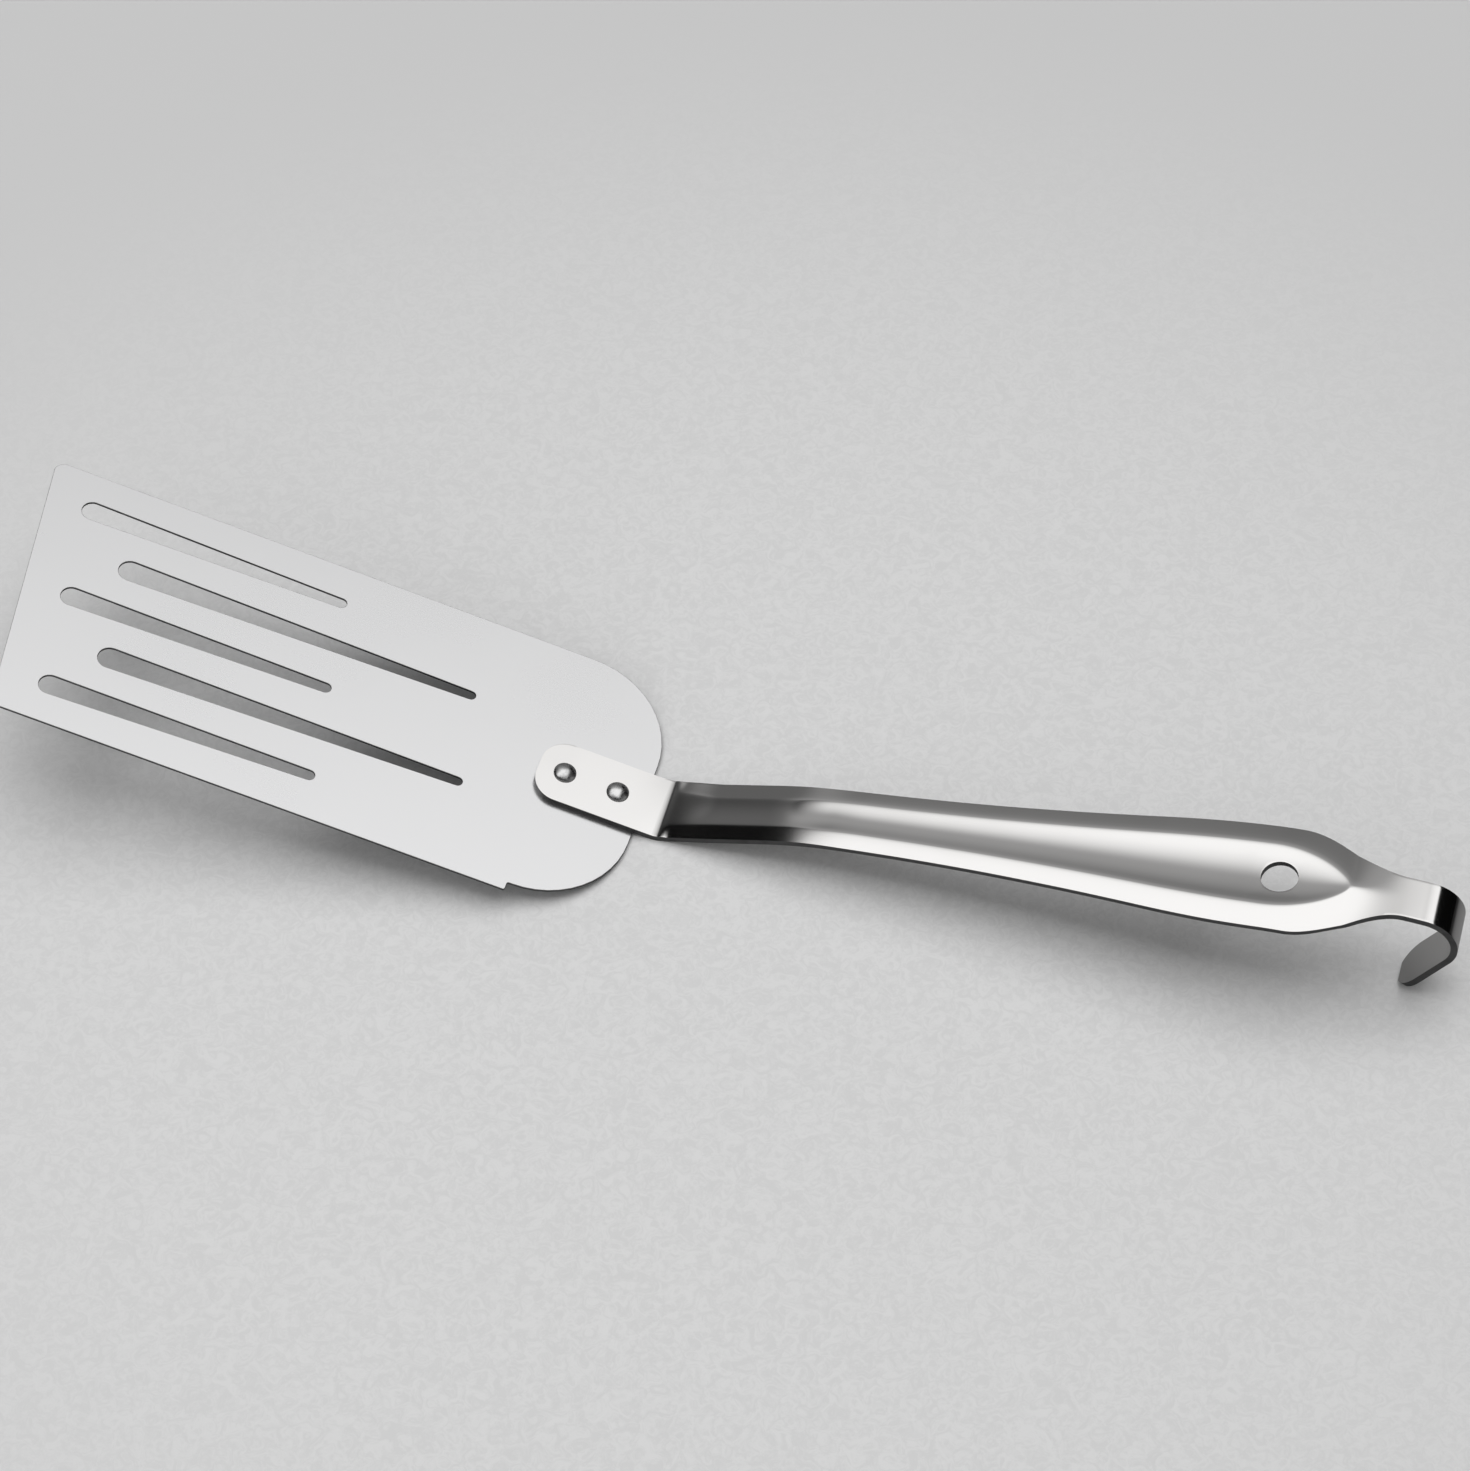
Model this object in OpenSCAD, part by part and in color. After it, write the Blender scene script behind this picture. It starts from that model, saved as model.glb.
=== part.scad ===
/* [Blade] */
// Length of the blade along its centre line
blade_l = 161.1; // [152:0.1:185]
// Width across the front corners
blade_front_w = 74.9; // [74:0.1:80]
// Width that the straight sides taper to at the rear edge
blade_rear_w = 73.7; // [71:0.1:74]
// Thickness of the blade's sheet
blade_t = 0.7; // [0.6:0.05:1]
// Rise of the blade towards its front edge, in degrees
blade_pitch = 13.3; // [11:0.1:15]
// Slant of the front edge, in degrees
slant = 10.4; // [0:0.1:14]
// Radius of the two front corners
front_corner_r = 2.5; // [1:0.1:6]
// Radius of the rear corner on the far side
far_corner_r = 24.4; // [18:0.1:28]
// Radius of the rear corner on the near side
near_corner_r = 22.5; // [16:0.1:23]
// Distance from the rear edge to the shoulder on the near side
shoulder_gap = 23.6; // [23.4:0.1:40]
// Depth of the shoulder on the near side
shoulder_step = 2.2; // [1.8:0.1:4]
// Radius of the shoulder's two corners
shoulder_r = 0.5; // [0.2:0.05:0.8]

/* [Slots] */
// Spacing of the slots across the blade
slot_pitch = 13.3; // [11.5:0.1:14]
// Slant of the row of slots, in degrees
slot_slant = 11.2; // [0:0.1:13]
// Turn of the middle slot off the blade's length, in degrees
slot_turn = 0.4; // [0:0.1:0.8]
// Turn from one slot to the next, which draws them together at the rear, in degrees
slot_fan = 0.32; // [0:0.02:0.4]
// Metal between the front edge and the middle slot
short_slot_gap = 9.7; // [6:0.1:14]
// Distance from the front edge to the row of long slots, on the blade's centre line
long_slot_gap = 22.1; // [14:0.1:23]
// Length of the short slots
short_slot_l = 70.1; // [50:0.1:85]
// Length of the long slots
long_slot_l = 93.6; // [70:0.1:98]
// Width of a short slot at its front end
short_slot_front_w = 5.5; // [5:0.1:7]
// Width of a short slot at its rear end
short_slot_rear_w = 2.9; // [2:0.1:4]
// Width of a long slot at its front end
long_slot_front_w = 6; // [5:0.1:7]
// Width of a long slot at its rear end
long_slot_rear_w = 2.5; // [2:0.1:4]

/* [Handle] */
// Thickness of the handle's sheet
sheet_t = 1.65; // [1.2:0.05:2]
// Rounding of the sheet's cut edges
edge_round = 0.3; // [0.15:0.05:0.5]
// Width of the tab and of the neck
tab_w = 17.3; // [15:0.1:19]
// Radius of the tab's two front corners
tab_corner_r = 6.5; // [4:0.1:7]
// Length of the tab that lies on the blade
tab_overlap = 27.2; // [24:0.1:36]
// Distance from the blade's rear edge to the corner of the bend
bend_gap = 5.45; // [4:0.05:9]
// Radius inside the bend
bend_r = 4; // [3:0.1:7]
// Rise of the neck, in degrees
neck_rise = 17; // [15:0.1:19]
// Length of the neck from the bend to the corner where it runs into the grip
neck_l = 39.1; // [34:0.1:46]
// Radius of the curve from the neck to the grip
neck_curve_r = 150; // [100:1:170]

/* [Grip] */
// Rise of the grip, in degrees
grip_rise = 7.6; // [6:0.1:9]
// Length of the straight grip from the neck's corner
grip_l = 107.7; // [95:0.1:120]
// Greatest width of the grip
grip_w = 30; // [26:0.1:34]
// Distance from the end of the straight grip to its widest place
widest_gap = 2.3; // [0:0.1:4]
// Spacing of the two ridges where they start behind the bend
bend_ridge_w = 10.9; // [9:0.1:12]
// Spacing of the two ridges in the neck
neck_ridge_w = 8.7; // [7:0.1:10]
// Spacing of the two ridges where the grip is widest
grip_ridge_w = 17.7; // [15:0.1:19]
// Depth of the groove below the ridges where the grip is widest
groove_depth = 1.1; // [0.6:0.05:1.6]
// Fall of the flanges outside the ridges of the grip, in degrees
flange_fall = 10.2; // [6:0.1:13]
// Fall of the flanges outside the ridges of the neck, in degrees
neck_flange_fall = 5.5; // [3:0.1:8]
// Diameter of the hanging hole
hole_d = 8.8; // [7:0.1:10]
// Distance from the hanging hole's centre to the hook's bend
hole_gap = 33.9; // [31:0.1:36]

/* [Hook] */
// Length of the arched end between the straight grip and the hook's bend
end_l = 39.1; // [38:0.1:46]
// Turn of the arched end, in degrees
end_turn = 7.7; // [5:0.1:9]
// Length of the point where the two ridges meet, past the widest grip
point_l = 19.4; // [16:0.1:22]
// Distance from the widest grip to the start of the shoulders
grip_end_gap = 6.2; // [4:0.1:7]
// Length of the shoulders that draw the grip in to the strap
grip_shoulder_l = 26.4; // [22:0.1:28]
// Width of the strap that makes the hook
strap_w = 11.2; // [9:0.1:13]
// Radius outside the hook's bend
hook_r = 9.4; // [7.5:0.1:10.5]
// Angle at which the hook's leg goes back under the grip, in degrees from level
hook_drop = 121; // [110:1:128]
// Length of the rounded tip of the hook's leg
tip_l = 7; // [5:0.1:10]

/* [Rivets] */
// Diameter of a rivet's head
rivet_head_d = 5.6; // [5:0.1:6.5]
// Height of a rivet's head
rivet_head_h = 1.3; // [0.9:0.05:1.6]
// Height of the upright rim of a rivet's head
rivet_rim_h = 0.3; // [0.1:0.05:0.4]
// Diameter of a rivet's shank
rivet_shank_d = 3; // [2.6:0.1:3.4]
// Diameter of a rivet's flared tail, flush with the blade's underside
rivet_tail_d = 4.2; // [3.8:0.1:4.6]
// Depth of a rivet's flared tail
rivet_tail_h = 0.45; // [0.3:0.05:0.5]
// Distance from the blade's rear edge to the rear rivet
rivet_gap = 6.8; // [5:0.1:9]
// Distance between the two rivets
rivet_pitch = 13.7; // [11:0.1:14]
// Clearance round a rivet in its holes
rivet_fit = 0.05; // [0.02:0.01:0.1]

/* [Hidden] */
$fn = 96;

// Overrun of the cuts
over = 1;
// Number of slots across the blade, and of steps on the arcs of outlines
slot_n = 5;
arc_n = 12;
// Number of steps across the groove and across one flange
groove_n = 9;
flange_n = 2;
// Half the spacing of the ridges once they have met
crown_half = 0.3;
// Length over which the flanges form behind the bend, and over which the ridges draw together
flange_form_l = 2.5;
ridge_form_l = 14;
// Length over which the groove sinks in, and how far before the neck's corner it starts
groove_form_l = 15;
groove_lead = 4;
// Growth of the grip from the neck's corner to its widest place, at ten equal steps
grip_shares = [0, 0.033, 0.075, 0.14, 0.23, 0.35, 0.49, 0.655, 0.83, 0.955, 1];
// Roundness of the point that the ridges run into
point_share = 0.78;
// Part of the half width that the ridges may take, and part of the tip's ellipse that is used
ridge_room_share = 0.9;
tip_share = 0.88;
// Part of the shoulders' length over which the crown flattens out
crown_fade_share = 0.6;

function mix(a, b, f) = a + (b - a) * f;
function held(f) = min(1, max(0, f));
function smooth(f) = let (h = held(f)) h * h * (3 - 2 * h);
function unit(v) = v / norm(v);

// Smooth curve through a list of shares, read at f from 0 to 1
function curve(list, f) =
    let (
        last = len(list) - 1,
        p = held(f) * last,
        i = min(floor(p), last - 1),
        q = p - i,
        a = list[i],
        b = list[i + 1],
        before = list[max(i - 1, 0)],
        after = list[min(i + 2, last)],
        leave = (b - before) / 2,
        arrive = (after - a) / 2
    )
    a + q * (leave + q * (3 * (b - a) - 2 * leave - arrive + q * (leave + arrive - 2 * (b - a))));

// Arc that rounds the corner at p, between the sides that run to a and to b
function corner(a, p, b, r) =
    let (
        u = unit(a - p),
        v = unit(b - p),
        half = acos(u * v) / 2,
        centre = p + unit(u + v) * r / sin(half),
        from = p + u * r / tan(half) - centre,
        to = p + v * r / tan(half) - centre,
        swing = 180 - 2 * half
    )
    [for (i = [0 : arc_n]) let (f = i / arc_n)
        centre + (sin((1 - f) * swing) * from + sin(f * swing) * to) / sin(swing)];

// Polygon with every corner rounded, from rows of place and radius
function rounded(rows) =
    let (n = len(rows))
    [for (i = [0 : n - 1])
        each corner(rows[(i + n - 1) % n][0], rows[i][0], rows[(i + 1) % n][0], rows[i][1])];

// Outline of the blade, seen from above, with its rear edge at x = 0
front_half = blade_front_w / 2;
rear_half = blade_rear_w / 2;
lobe_half = rear_half - shoulder_step;
front_lean = front_half * tan(slant);
shoulder_half = mix(rear_half, front_half, shoulder_gap / blade_l);
blade_outline = rounded([
    [[-blade_l - front_lean, front_half], front_corner_r],
    [[-blade_l + front_lean, -front_half], front_corner_r],
    [[-shoulder_gap, -shoulder_half], shoulder_r],
    [[-shoulder_gap, -lobe_half], shoulder_r],
    [[0, -lobe_half], near_corner_r],
    [[0, rear_half], far_corner_r]
]);

// Outline of a slot of length l from its front end, which narrows from w0 to w1 between round ends
function slot_outline(l, w0, w1) = concat(
    [for (i = [0 : arc_n]) let (a = 90 + 180 * i / arc_n) [(1 + cos(a)) * w0 / 2, sin(a) * w0 / 2]],
    [for (i = [0 : arc_n]) let (a = 270 + 180 * i / arc_n) [l + (cos(a) - 1) * w1 / 2, sin(a) * w1 / 2]]
);

// The handle follows a path on its upper face, seen from the side. A place on it is
// [x, z, heading in degrees, distance travelled], with x and z from the blade's rear lower edge
function advance(p, length, turn) =
    turn == 0
    ? [p[0] + length * cos(p[2]), p[1] + length * sin(p[2]), p[2], p[3] + length]
    : let (r = length * 180 / PI / turn, a = p[2] + turn)
        [p[0] + r * (sin(a) - sin(p[2])), p[1] - r * (cos(a) - cos(p[2])), a, p[3] + length];

// Straight length that an arc of radius r takes from each side of its corner
function corner_cut(r, turn) = r * tan(turn / 2);
function arc_length(r, turn) = r * turn * PI / 180;

bend_turn = neck_rise + blade_pitch;
neck_turn = neck_rise - grip_rise;
hook_turn = grip_rise - end_turn + hook_drop;
bend_cut = corner_cut(bend_r, bend_turn);
neck_cut = corner_cut(neck_curve_r, neck_turn);
tab_rest_l = tab_overlap + bend_gap - bend_cut - tab_corner_r;
neck_rest_l = neck_l - bend_cut - neck_cut;
stack_t = blade_t + sheet_t;

// Place of the tab's front end, and lowest place of the bend below the blade's rear edge
path_start = [
    stack_t * sin(blade_pitch) - tab_overlap * cos(blade_pitch),
    stack_t * cos(blade_pitch) + tab_overlap * sin(blade_pitch),
    -blade_pitch,
    0
];
bend_along = bend_gap - bend_cut;
rest_z = bend_r + sheet_t - (stack_t + bend_r) * cos(blade_pitch) + bend_along * sin(blade_pitch);

// Runs of the path, each with its length, its turn, its number of steps and which end they crowd
body_runs = [
    [tab_corner_r, 0, 8, "start"],
    [tab_rest_l, 0, 3, "none"],
    [arc_length(bend_r, bend_turn), bend_turn, 8, "none"],
    [neck_rest_l, 0, 10, "start"],
    [arc_length(neck_curve_r, neck_turn), -neck_turn, 8, "none"],
    [grip_l - neck_cut, 0, 22, "none"],
    [end_l, -end_turn, 20, "none"],
    [arc_length(hook_r, hook_turn), -hook_turn, 16, "none"]
];
function starts(p, runs, k = 0) =
    k == len(runs) ? [p] : concat([p], starts(advance(p, runs[k][0], runs[k][1]), runs, k + 1));
body_starts = starts(path_start, body_runs);
hook_end = body_starts[len(body_runs)];

// The leg of the hook is as long as it takes to set its tip on the table
leg_l = (hook_end[1] + rest_z) / sin(hook_drop);
leg_runs = [
    [leg_l - tip_l, 0, 4, "none"],
    [tip_l, 0, 7, "end"]
];
path_runs = concat(body_runs, leg_runs);
run_starts = starts(path_start, path_runs);

function crowded(f, way) = way == "start" ? 1 - cos(90 * f) : way == "end" ? sin(90 * f) : f;
function run_places(p, run) =
    [for (i = [0 : run[2] - 1]) let (f = crowded(i / run[2], run[3])) advance(p, run[0] * f, run[1] * f)];
places = concat(
    [for (k = [0 : len(path_runs) - 1]) each run_places(run_starts[k], path_runs[k])],
    [run_starts[len(path_runs)]]
);

// Marks along the path
neck_from = run_starts[3][3];
grip_from = run_starts[4][3] + neck_cut;
grip_wide = run_starts[6][3] + widest_gap;
shoulder_from = grip_wide + grip_end_gap;
shoulder_to = shoulder_from + grip_shoulder_l;
point_at = grip_wide + point_l;
tip_from = run_starts[len(path_runs) - 1][3];

// Half the sheet's width at a distance along the path
function half_width(s) =
    s < tab_corner_r
    ? tab_w / 2 - tab_corner_r + sqrt(s * (2 * tab_corner_r - s))
    : s > tip_from
    ? strap_w / 2 * sqrt(1 - pow(tip_share * (s - tip_from) / tip_l, 2))
    : s > grip_wide
    ? mix(grip_w, strap_w, smooth((s - shoulder_from) / grip_shoulder_l)) / 2
    : mix(tab_w, grip_w, curve(grip_shares, (s - grip_from) / (grip_wide - grip_from))) / 2;

// Half the spacing of the two ridges
function ridge_half(s) =
    let (
        formed = mix(bend_ridge_w, neck_ridge_w, smooth((s - neck_from) / ridge_form_l)) / 2,
        spread = curve(grip_shares, (s - grip_from) / (grip_wide - grip_from)),
        grown = formed + spread * (grip_ridge_w - neck_ridge_w) / 2,
        along = held((s - grip_wide) / point_l),
        room = ridge_room_share * (half_width(s) - edge_round)
    )
    min(room, crown_half + (grown - crown_half) * pow(1 - along * along, point_share));

// Slope of the flanges, as a rise over a run
function flange_slope(s) =
    let (
        formed = smooth((s - neck_from) / flange_form_l),
        grip = smooth((s - grip_from + groove_lead) / groove_form_l),
        faded = smooth((shoulder_to - s) / (grip_shoulder_l * crown_fade_share))
    )
    mix(formed * tan(neck_flange_fall), tan(flange_fall), grip) * faded;

// Depth of the groove
function groove(s) =
    let (sunk = smooth((s - grip_from + groove_lead) / groove_form_l))
    sunk * groove_depth * (ridge_half(s) - crown_half) * 2 / grip_ridge_w;

// Height of the upper face above the path, at y across the sheet
function rise(s, y) =
    let (ridge = ridge_half(s), out = abs(y) - ridge)
    out > 0 ? -flange_slope(s) * out : -groove(s) * (1 - pow(y / ridge, 2));

// Places across the upper face, from the far edge to the near one
function across(s) =
    let (w = half_width(s) - edge_round, ridge = ridge_half(s))
    concat(
        [for (i = [flange_n : -1 : 1]) mix(ridge, w, i / flange_n)],
        [for (i = [0 : groove_n]) ridge * (1 - 2 * i / groove_n)],
        [for (i = [1 : flange_n]) -mix(ridge, w, i / flange_n)]
    );

// Ring round the sheet at a place of the path, as rows of y and height above the path
function ring(s) =
    let (
        ys = across(s),
        last = len(ys) - 1,
        w = half_width(s),
        low = rise(s, w)
    )
    concat(
        [for (y = ys) [y, rise(s, y)]],
        [[-w, low - edge_round], [-w, low - sheet_t + edge_round]],
        [for (i = [last : -1 : 0]) [ys[i], rise(s, ys[i]) - sheet_t]],
        [[w, low - sheet_t + edge_round], [w, low - edge_round]]
    );

// Middle of the whole length, from the blade's front corner to the back of the hook
front_x = min([for (p = blade_outline) p[0]]) * cos(blade_pitch);
back_x = body_starts[7][0] + hook_r * (1 + sin(grip_rise - end_turn));
mid_x = (front_x + back_x) / 2;

rings = [for (p = places) [for (q = ring(p[3]))
    [p[0] - q[1] * sin(p[2]) - mid_x, q[0], p[1] + q[1] * cos(p[2]) + rest_z]]];

// Two triangles that close a rectangle of corners
function facets(a, b, c, d) = [[a, b, c], [a, c, d]];

// Closed skin through rings of n points each. A ring runs along the upper face, down one cut
// edge, back along the lower face and up the other edge, so that point j lies over n - 3 - j
module skin(rings) {
    n = len(rings[0]);
    last = len(rings) - 1;
    polyhedron(
        points = [for (r = rings) each r],
        faces = concat(
            [for (j = [-1 : n / 2 - 3]) each facets((j + n) % n, j + 1, n - 4 - j, n - 3 - j)],
            [for (i = [0 : last - 1], j = [0 : n - 1])
                let (a = i * n + j, b = i * n + (j + 1) % n)
                each facets(a, a + n, b + n, b)],
            [for (j = [-1 : n / 2 - 3])
                let (a = last * n)
                each facets(a + (j + n) % n, a + n - 3 - j, a + n - 4 - j, a + j + 1)]
        )
    );
}

// Puts a piece on the blade's lower face, with x = 0 at its rear edge
module on_blade() {
    translate([-mid_x, 0, rest_z]) rotate([0, blade_pitch, 0]) children();
}

// Puts a piece at each rivet, on the blade's lower face
module at_rivets(gaps) {
    for (gap = gaps) on_blade() translate([-gap, 0, 0]) children();
}

rivet_gaps = [rivet_gap + rivet_pitch, rivet_gap];

// Blade: a tapered sheet with a slanted front edge, round rear corners and five tapered slots
module blade() {
    color("gainsboro")
    difference() {
        on_blade() linear_extrude(blade_t) difference() {
            polygon(blade_outline);
            for (i = [0 : slot_n - 1]) {
                long = i % 2 == 1;
                k = i - (slot_n - 1) / 2;
                y = k * slot_pitch;
                front = -blade_l - y * tan(slot_slant) + (long ? long_slot_gap : short_slot_gap);
                l = long ? long_slot_l : short_slot_l;
                front_w = long ? long_slot_front_w : short_slot_front_w;
                rear_w = long ? long_slot_rear_w : short_slot_rear_w;
                translate([front, y]) rotate(slot_turn - k * slot_fan)
                    polygon(slot_outline(l, front_w, rear_w));
            }
        }
        at_rivets(rivet_gaps) {
            translate([0, 0, -over]) cylinder(d = rivet_shank_d + 2 * rivet_fit, h = blade_t + 2 * over);
            translate([0, 0, -over]) cylinder(d = rivet_tail_d + 2 * rivet_fit, h = over);
            cylinder(
                d1 = rivet_tail_d + 2 * rivet_fit,
                d2 = rivet_shank_d + 2 * rivet_fit,
                h = rivet_tail_h
            );
        }
    }
}

// Handle: one pressed sheet with the tab, bend, neck, grooved grip, strap and hook
module handle() {
    hole = advance(body_starts[6], end_l - hole_gap, -end_turn * (end_l - hole_gap) / end_l);
    color("silver")
    difference() {
        skin(rings);
        at_rivets(rivet_gaps) cylinder(d = rivet_shank_d + 2 * rivet_fit, h = stack_t + over);
        translate([hole[0] - mid_x, 0, hole[1] + rest_z])
            rotate([0, -hole[2], 0])
            translate([0, 0, -groove_depth - sheet_t - over])
            cylinder(d = hole_d, h = groove_depth + sheet_t + 2 * over);
    }
}

// Rivet: a low dome with a rim, a shank through tab and blade, and a flared flush tail
module rivet() {
    dome_h = rivet_head_h - rivet_rim_h;
    dome_r = (pow(rivet_head_d / 2, 2) + dome_h * dome_h) / (2 * dome_h);
    color("whitesmoke")
    union() {
        translate([0, 0, stack_t]) intersection() {
            translate([0, 0, rivet_head_h - dome_r]) sphere(r = dome_r);
            cylinder(d = rivet_head_d, h = rivet_head_h + over);
        }
        translate([0, 0, rivet_tail_h]) cylinder(d = rivet_shank_d, h = stack_t - rivet_tail_h);
        cylinder(d1 = rivet_tail_d, d2 = rivet_shank_d, h = rivet_tail_h);
    }
}

module rivet_front() {
    at_rivets([rivet_gaps[0]]) rivet();
}

module rivet_rear() {
    at_rivets([rivet_gaps[1]]) rivet();
}

blade();
handle();
rivet_front();
rivet_rear();
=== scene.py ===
import logging
import math
from dataclasses import dataclass
from enum import Enum, IntEnum
from typing import Optional, Union

import bpy
import bmesh
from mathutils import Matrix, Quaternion, Vector


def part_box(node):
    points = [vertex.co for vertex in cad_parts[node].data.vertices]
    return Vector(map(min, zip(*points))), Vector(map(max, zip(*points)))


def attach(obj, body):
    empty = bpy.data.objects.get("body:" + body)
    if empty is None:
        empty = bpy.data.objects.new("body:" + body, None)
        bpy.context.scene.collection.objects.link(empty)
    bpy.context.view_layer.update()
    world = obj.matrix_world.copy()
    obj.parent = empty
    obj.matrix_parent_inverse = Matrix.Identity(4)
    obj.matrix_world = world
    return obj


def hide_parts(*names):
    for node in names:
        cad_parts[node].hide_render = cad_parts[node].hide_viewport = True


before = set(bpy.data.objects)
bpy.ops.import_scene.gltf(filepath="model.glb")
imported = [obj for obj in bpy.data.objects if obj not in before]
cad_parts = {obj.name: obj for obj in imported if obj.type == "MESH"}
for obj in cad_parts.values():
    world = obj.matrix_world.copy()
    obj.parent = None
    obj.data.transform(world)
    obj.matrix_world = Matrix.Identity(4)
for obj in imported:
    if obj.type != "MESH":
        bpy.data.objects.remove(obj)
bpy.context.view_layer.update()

LOG = logging.getLogger("turner")
MM = 0.001
PHOTO_WIDTH_PX = 1470
MERGE_GAP = 2e-6
FLAT_WITHIN_DEG = 0.4
GRAIN_DETAIL = 3.0
HAZE_DETAIL = 2.0
HAZE_RANGE = (0.45, 0.75)
WHITE = (1.0, 1.0, 1.0, 1.0)
BLACK = (0.0, 0.0, 0.0, 1.0)

Term = Union["Wire", float]
Range = tuple[float, float]
Colour = tuple[float, float, float]


def mix(a: float, b: float, share: float) -> float:
    """Value at a share of the way from a to b."""
    return a + (b - a) * share


def held(value: float) -> float:
    """Value kept between 0 and 1."""
    return min(1.0, max(0.0, value))


def smooth(value: float) -> float:
    """Soft step from 0 to 1, for a value that is held between them."""
    kept = held(value)
    return kept * kept * (3 - 2 * kept)


def curve_through(shares: tuple[float, ...], place: float) -> float:
    """Reads a smooth curve that passes through evenly spaced shares.

    Args:
        shares: The shares at equal steps.
        place: Where to read the curve, from 0 to 1.

    Returns:
        The share at that place.
    """
    last = len(shares) - 1
    along = held(place) * last
    i = min(int(along), last - 1)
    q = along - i
    a, b = shares[i], shares[i + 1]
    before, after = shares[max(i - 1, 0)], shares[min(i + 2, last)]
    leave, arrive = (b - before) / 2, (after - a) / 2
    cubic = leave + arrive - 2 * (b - a)
    return a + q * (leave + q * (3 * (b - a) - 2 * leave - arrive + q * cubic))


class Wire:
    """A shader socket, or a plain number, that Python's operators combine into Math nodes."""

    def __init__(self, tree: "Tree", value: Union[float, bpy.types.NodeSocket]) -> None:
        """Keeps the node tree that new Math nodes go into, and the socket or number."""
        self.tree = tree
        self.value = value

    def _math(self, operation: str, *others: Term) -> "Wire":
        """Adds a Math node for this value and others.

        Args:
            operation: The Math node's operation.
            others: The further values of the node.

        Returns:
            The node's result.
        """
        sockets = {0: self, **dict(enumerate(others, 1))}
        return self.tree.add("ShaderNodeMath", {"operation": operation}, sockets)

    def __add__(self, other: Term) -> "Wire":
        """Sum of two values."""
        return self._math("ADD", other)

    def __radd__(self, other: float) -> "Wire":
        """Sum with a number on the left."""
        return self._math("ADD", other)

    def __sub__(self, other: Term) -> "Wire":
        """Difference of two values."""
        return self._math("SUBTRACT", other)

    def __rsub__(self, other: float) -> "Wire":
        """Difference from a number on the left."""
        return self.tree.add("ShaderNodeMath", {"operation": "SUBTRACT"}, {0: other, 1: self})

    def __mul__(self, other: Term) -> "Wire":
        """Product of two values."""
        return self._math("MULTIPLY", other)

    def __rmul__(self, other: float) -> "Wire":
        """Product with a number on the left."""
        return self._math("MULTIPLY", other)

    def __truediv__(self, other: Term) -> "Wire":
        """Quotient of two values."""
        return self._math("DIVIDE", other)

    def __rtruediv__(self, other: float) -> "Wire":
        """Quotient of a number on the left by this value."""
        return self.tree.add("ShaderNodeMath", {"operation": "DIVIDE"}, {0: other, 1: self})

    def at_least(self, other: Term) -> "Wire":
        """The larger of two values."""
        return self._math("MAXIMUM", other)

    def soft_step(self, low: float, high: float) -> "Wire":
        """Soft step of this value.

        Args:
            low: The value at which the step is 0.
            high: The value at which the step is 1. It may be the smaller one.

        Returns:
            The step, from 0 to 1.
        """
        settings = {"interpolation_type": "SMOOTHSTEP"}
        return self.tree.add(
            "ShaderNodeMapRange",
            settings,
            {"Value": self, "From Min": low, "From Max": high, "To Min": 0.0, "To Max": 1.0},
        )


class Tree:
    """A material's or world's node tree, with one method that adds any node."""

    def __init__(self, tree: bpy.types.NodeTree) -> None:
        """Empties the tree and keeps it."""
        tree.nodes.clear()
        self.tree = tree

    def add(
        self,
        kind: str,
        settings: Optional[dict] = None,
        sockets: Optional[dict] = None,
        out: Union[int, str] = 0,
    ) -> Wire:
        """Adds a node.

        Args:
            kind: The node's type.
            settings: Attributes that are set first, such as a Math node's operation.
            sockets: Values or wires for the node's inputs, by name or number.
            out: The output to return, by name or number.

        Returns:
            The node's output as a wire.
        """
        node = self.tree.nodes.new(kind)
        for name, value in (settings or {}).items():
            setattr(node, name, value)
        for key, value in (sockets or {}).items():
            if isinstance(value, Wire):
                value = value.value
            if isinstance(value, bpy.types.NodeSocket):
                self.tree.links.new(value, node.inputs[key])
            else:
                node.inputs[key].default_value = value
        return Wire(self, node.outputs[out]) if len(node.outputs) else Wire(self, 0.0)

    def blend(self, share: Wire, low: Union[Wire, tuple], high: Union[Wire, tuple]) -> Wire:
        """Mixes two colours.

        Args:
            share: How much of the second colour shows.
            low: The first colour.
            high: The second colour.

        Returns:
            The mixed colour.
        """
        return self.add("ShaderNodeMix", {"data_type": "RGBA"}, {0: share, 6: low, 7: high}, 2)

    def split(self, vector: Wire) -> list[Wire]:
        """Takes a vector apart into its x, y and z."""
        node = self.add("ShaderNodeSeparateXYZ", {}, {0: vector}).value.node
        return [Wire(self, output) for output in node.outputs]


class Lay(Enum):
    """Direction of a sheet's fine grain, as the grain's stretch on X, Y and Z."""

    ALONG = (60.0, 1600.0, 1600.0)
    EVEN = (900.0, 900.0, 900.0)


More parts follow.
